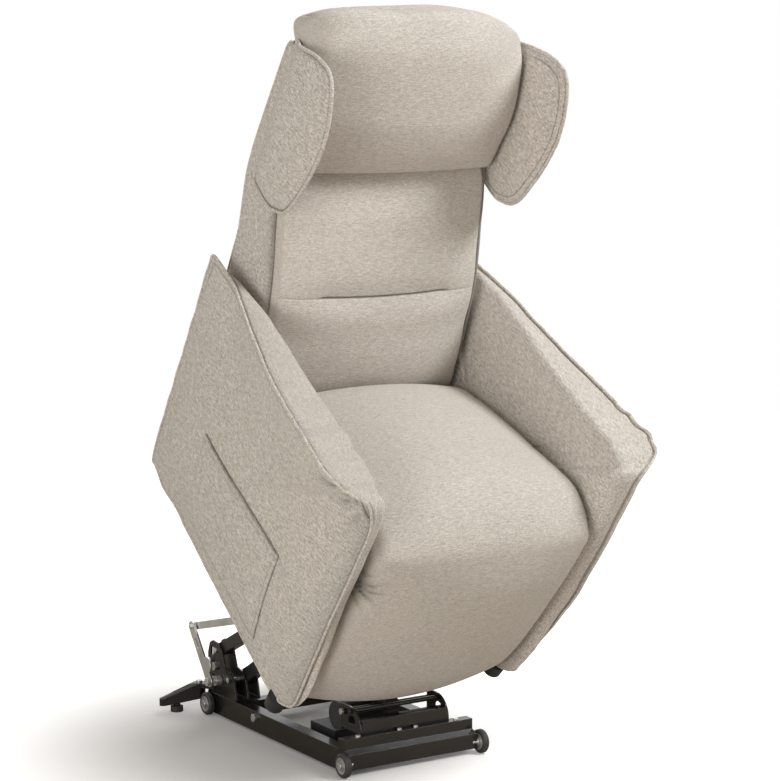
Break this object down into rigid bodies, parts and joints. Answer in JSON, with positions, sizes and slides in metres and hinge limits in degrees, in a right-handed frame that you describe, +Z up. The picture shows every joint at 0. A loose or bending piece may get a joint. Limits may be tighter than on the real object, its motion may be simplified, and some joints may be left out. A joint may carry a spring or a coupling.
{
  "type": "lift recliner",
  "caption": "Winged lift recliner in woven beige fabric, shown raised and tilted forward on a black steel lift base with small wheels.",
  "frame": {"origin": "on the floor, below the middle of the raised chair's bounding box", "axes": "+Z up and along the chair's height, +X to the viewer's right facing the chair and across its width, -Y out of the chair's front"},
  "size_m": [0.7568, 0.9971, 1.5535],
  "materials": {
    "frame_paint": "gloss black",
    "mechanism_paint": "satin black",
    "zinc": "bright zinc",
    "spring_wire": "plain wire",
    "rubber_foot": "matt",
    "tyre": "matt",
    "hub": "light grey",
    "drive_case": "matt dark grey",
    "rod": "polished",
    "board": "raw plywood",
    "weave": "woven chenille, warm beige",
    "weave_outer": "woven chenille, warm beige"
  },
  "bodies": {
    "base": {"base_rail_left": "frame_paint", "base_rail_right": "frame_paint", "front_beam": "frame_paint", "rear_beam": "frame_paint", "post_left": "frame_paint", "post_right": "frame_paint", "cradle_plate_left": "frame_paint", "cradle_plate_right": "frame_paint", "cradle_channel": "frame_paint", "control_box": "drive_case", "outrigger_left": "frame_paint", "outrigger_right": "frame_paint", "foot_pads": "rubber_foot", "wheel_axles": "zinc", "base_pins": "zinc", "base_bolts": "zinc"},
    "wheel_front_left": {"front_left_tyre": "tyre", "front_left_hub": "hub"},
    "wheel_front_right": {"front_right_tyre": "tyre", "front_right_hub": "hub"},
    "wheel_rear_left": {"rear_left_tyre": "tyre", "rear_left_hub": "hub"},
    "wheel_rear_right": {"rear_right_tyre": "tyre", "rear_right_hub": "hub"},
    "lift_arms": {"lower_arm_left": "mechanism_paint", "lower_arm_right": "mechanism_paint", "torque_tube": "mechanism_paint"},
    "upper_arms": {"upper_arm_left": "mechanism_paint", "upper_arm_right": "mechanism_paint"},
    "swing_link_pair": {"swing_links": "zinc"},
    "drag_link_pair": {"drag_links": "zinc"},
    "lift_drive": {"lift_actuator": "drive_case", "lift_motor": "drive_case"},
    "lift_drive_rod": {"lift_rod": "rod"},
    "seat_body": {"side_plate_left": "mechanism_paint", "side_plate_right": "mechanism_paint", "cross_tubes": "mechanism_paint", "seat_board_left": "board", "seat_board_right": "board", "seat_end_boards": "board", "seat_springs": "spring_wire", "frame_pins": "zinc", "arm_left": "weave_outer", "arm_right": "weave_outer", "arm_boards": "board", "glides": "rubber_foot", "side_pocket": "weave_outer", "seat_cushion": "weave", "front_roll": "weave"},
    "recline_drive": {"recline_actuator": "drive_case"},
    "recline_drive_rod": {"recline_rod": "rod"},
    "back": {"back_frame": "board", "back_shell": "weave_outer", "back_cushion": "weave", "head_pillow": "weave", "wing_left": "weave_outer", "wing_right": "weave_outer"},
    "leg_rest": {"legrest_board": "board", "legrest_pad": "weave", "legrest_hinges": "zinc"}
  },
  "joints": [
    {"name": "lift", "type": "hinge", "parent": "base", "child": "lift_arms", "pos_m": [0, 0.342, 0.09], "axis": [1, 0, 0], "range_deg": [0, 31.45]},
    {"name": "seat_tilt", "type": "hinge", "parent": "lift_arms", "child": "seat_body", "pos_m": [0, 0.01595, 0.28257], "axis": [1, 0, 0], "range_deg": [-71.46, 0]},
    {"name": "upper_arm_swing", "type": "hinge", "parent": "base", "child": "upper_arms", "pos_m": [0, 0.392, 0.148], "axis": [1, 0, 0], "range_deg": [0, 34.6]},
    {"name": "swing_link_turn", "type": "hinge", "parent": "base", "child": "swing_link_pair", "pos_m": [0, 0.372, 0.085], "axis": [1, 0, 0], "range_deg": [0, 29.1]},
    {"name": "drag_link_turn", "type": "hinge", "parent": "swing_link_pair", "child": "drag_link_pair", "pos_m": [0, 0.452, 0.193], "axis": [1, 0, 0], "range_deg": [0, 6.8]},
    {"name": "lift_drive_swing", "type": "hinge", "parent": "base", "child": "lift_drive", "pos_m": [0, -0.068, 0.108], "axis": [1, 0, 0], "range_deg": [0, 0.1]},
    {"name": "lift_stroke", "type": "slide", "parent": "lift_drive", "child": "lift_drive_rod", "axis": [0, 0.9496, 0.3134], "range_m": [-0.0812, 0]},
    {"name": "leg_rest_swing", "type": "hinge", "parent": "seat_body", "child": "leg_rest", "pos_m": [0, -0.27872, 0.48428], "axis": [-1, 0, 0], "range_deg": [0, 85], "deforming": ["front_roll"]},
    {"name": "recline_drive_swing", "type": "hinge", "parent": "seat_body", "child": "recline_drive", "pos_m": [0.065, 0.12665, 0.60934], "axis": [1, 0, 0], "range_deg": [0, 2.95]},
    {"name": "recline_stroke", "type": "slide", "parent": "recline_drive", "child": "recline_drive_rod", "axis": [0, -0.9364, -0.351], "range_m": [0, 0.0572]},
    {"name": "recline", "type": "hinge", "parent": "seat_body", "child": "back", "pos_m": [0, 0.18587, 0.73613], "axis": [-1, 0, 0], "range_deg": [0, 45]},
    {"name": "wheel_front_left_spin", "type": "hinge", "parent": "base", "child": "wheel_front_left", "pos_m": [-0.168, -0.1615, 0.025], "axis": [1, 0, 0], "continuous": true},
    {"name": "wheel_rear_left_spin", "type": "hinge", "parent": "base", "child": "wheel_rear_left", "pos_m": [-0.168, 0.4115, 0.025], "axis": [1, 0, 0], "continuous": true},
    {"name": "wheel_front_right_spin", "type": "hinge", "parent": "base", "child": "wheel_front_right", "pos_m": [0.168, -0.1615, 0.025], "axis": [1, 0, 0], "continuous": true},
    {"name": "wheel_rear_right_spin", "type": "hinge", "parent": "base", "child": "wheel_rear_right", "pos_m": [0.168, 0.4115, 0.025], "axis": [1, 0, 0], "continuous": true}
  ],
  "couplings": [
    {"joint": "seat_tilt", "follows": "lift", "ratio": -2.2719},
    {"joint": "upper_arm_swing", "follows": "lift", "ratio": 1.0993},
    {"joint": "swing_link_turn", "follows": "lift", "ratio": 0.9247},
    {"joint": "drag_link_turn", "follows": "lift", "ratio": 0.21555},
    {"joint": "lift_drive_swing", "follows": "lift", "ratio": 0.001946},
    {"joint": "lift_stroke", "follows": "lift", "m_per_rad": -0.14773},
    {"joint": "recline_drive_swing", "follows": "leg_rest_swing", "ratio": 0.034012},
    {"joint": "recline_stroke", "follows": "leg_rest_swing", "m_per_rad": 0.038502}
  ]
}
